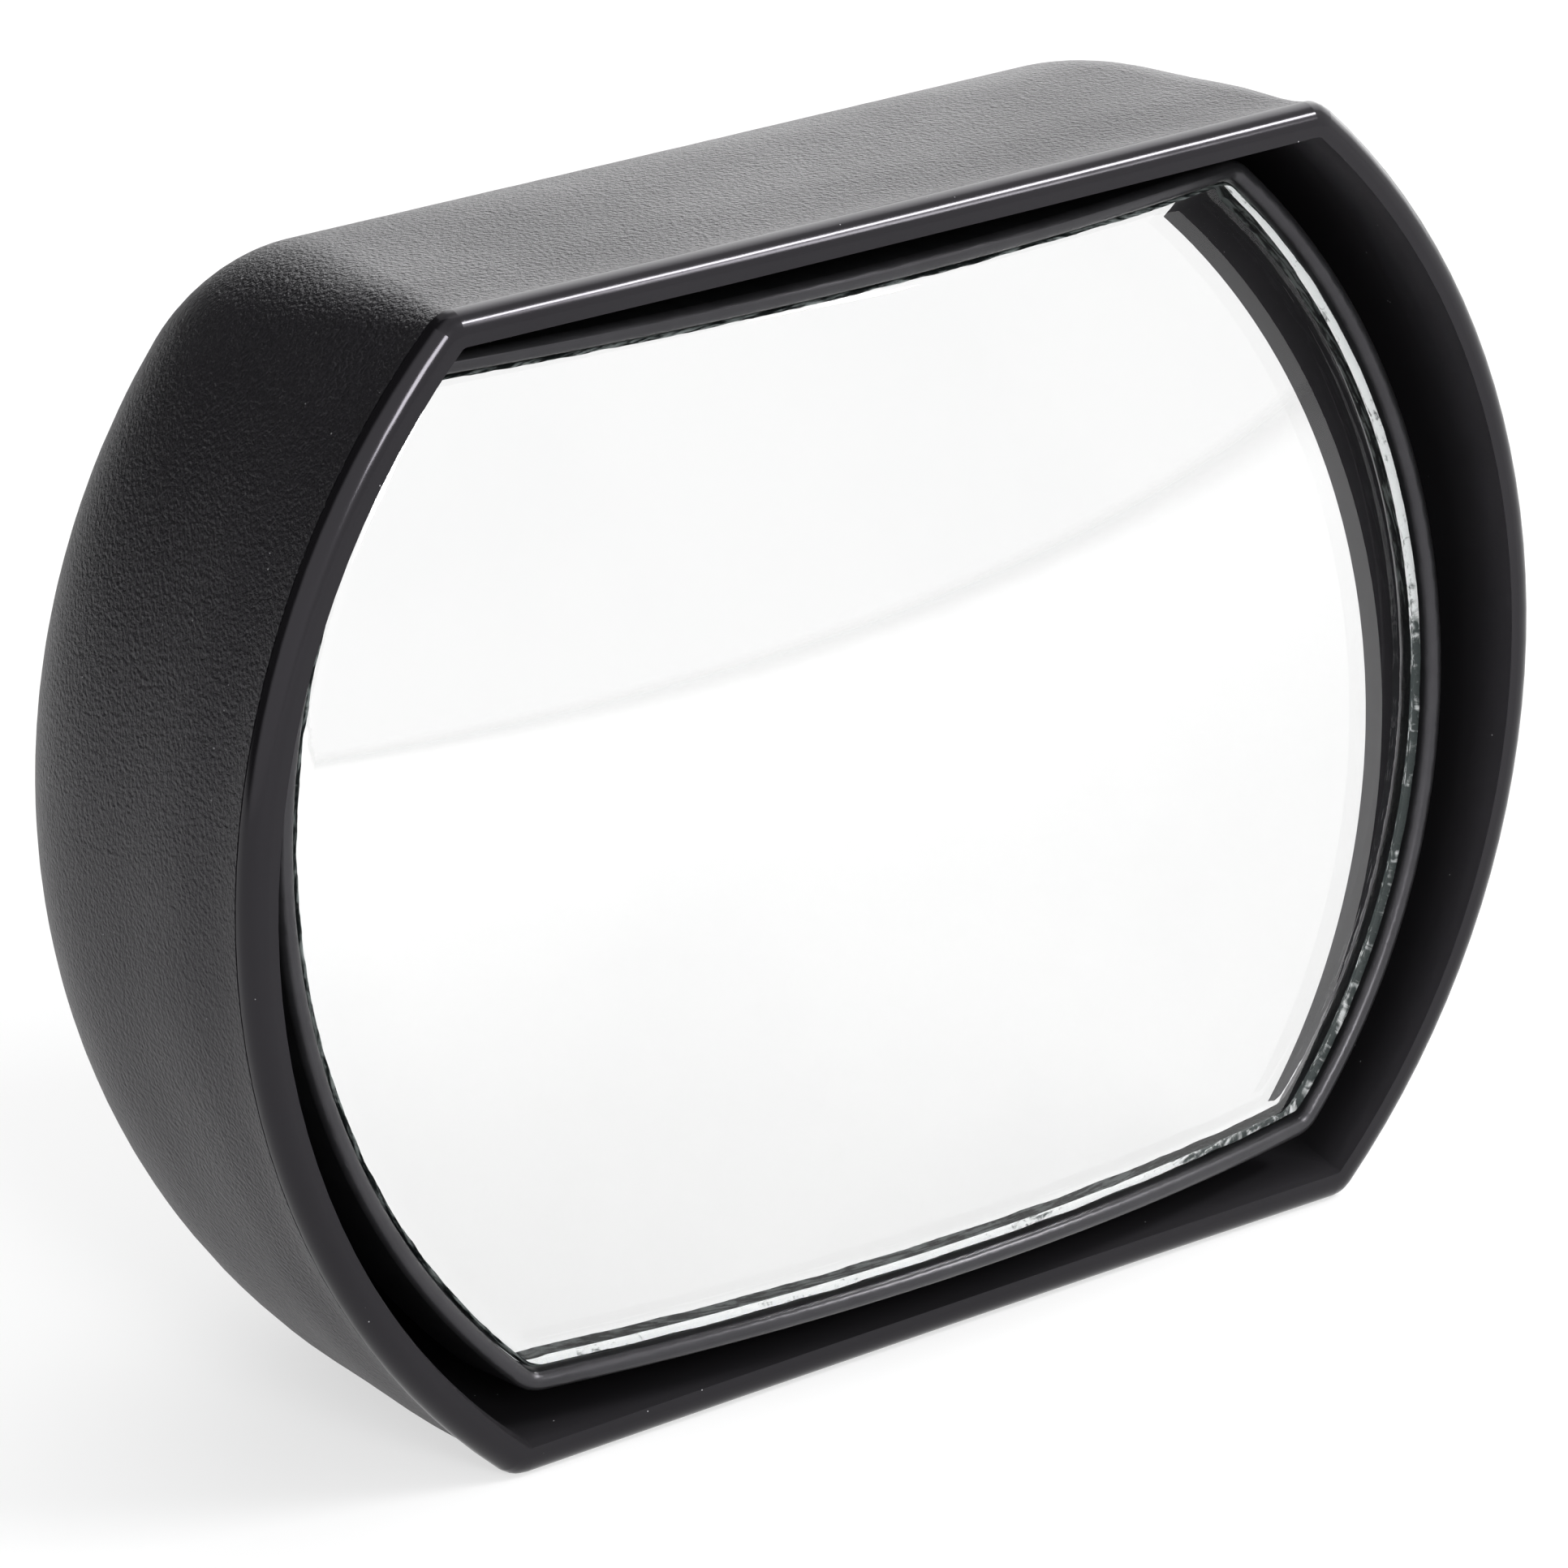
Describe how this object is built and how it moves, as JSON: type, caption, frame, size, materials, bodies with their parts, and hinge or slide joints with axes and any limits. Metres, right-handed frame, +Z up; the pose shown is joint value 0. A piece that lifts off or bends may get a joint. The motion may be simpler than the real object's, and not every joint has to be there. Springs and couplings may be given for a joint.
{
  "type": "hooded convex mirror",
  "caption": "Convex mirror with a truncated-circle outline in a deep rounded plastic housing; the glass tilts up, down, left and right on a hidden gimbal.",
  "frame": {"origin": "centre of the mounting pad's outer face, which lies on the wall or panel", "axes": "+Z up, the mirror faces -Y, +Y into the wall, +X to the right of someone looking at the mirror"},
  "size_m": [0.145, 0.0648, 0.1096],
  "materials": {
    "housing_plastic": "fine leather grain, satin; polished front lip",
    "pad_foam": "closed-cell acrylic foam",
    "base_plastic": "moulded, satin",
    "screw_steel": "zinc plated",
    "pin_steel": "ground",
    "plunger_plastic": "acetal",
    "spring_steel": "drawn wire",
    "washer_steel": "zinc plated",
    "ring_plastic": "acetal",
    "holder_plastic": "moulded nylon, satin",
    "carrier_plastic": "smooth black, satin gloss",
    "coating": "silvered",
    "glass": "polished, ground edge"
  },
  "bodies": {
    "housing": {"housing_shell": "housing_plastic", "mount_pad": "pad_foam", "pivot_base": "base_plastic", "base_screws": "screw_steel", "fork_pins": "pin_steel", "plunger": "plunger_plastic", "plunger_spring": "spring_steel", "spring_washer": "washer_steel"},
    "gimbal": {"gimbal_ring": "ring_plastic"},
    "head": {"holder_plate": "holder_plastic", "head_pins": "pin_steel", "glass_carrier": "carrier_plastic", "glass_pad": "pad_foam", "mirror_coating": "coating", "mirror_glass": "glass"}
  },
  "joints": [
    {"name": "tilt_up_down", "type": "hinge", "parent": "housing", "child": "gimbal", "pos_m": [0, -0.0511, 0], "axis": [1, 0, 0], "range_deg": [-3.4, 12.6]},
    {"name": "tilt_left_right", "type": "hinge", "parent": "gimbal", "child": "head", "pos_m": [0, -0.0511, 0], "axis": [0, 0.0802, 0.9968], "range_deg": [-8, 8]}
  ]
}
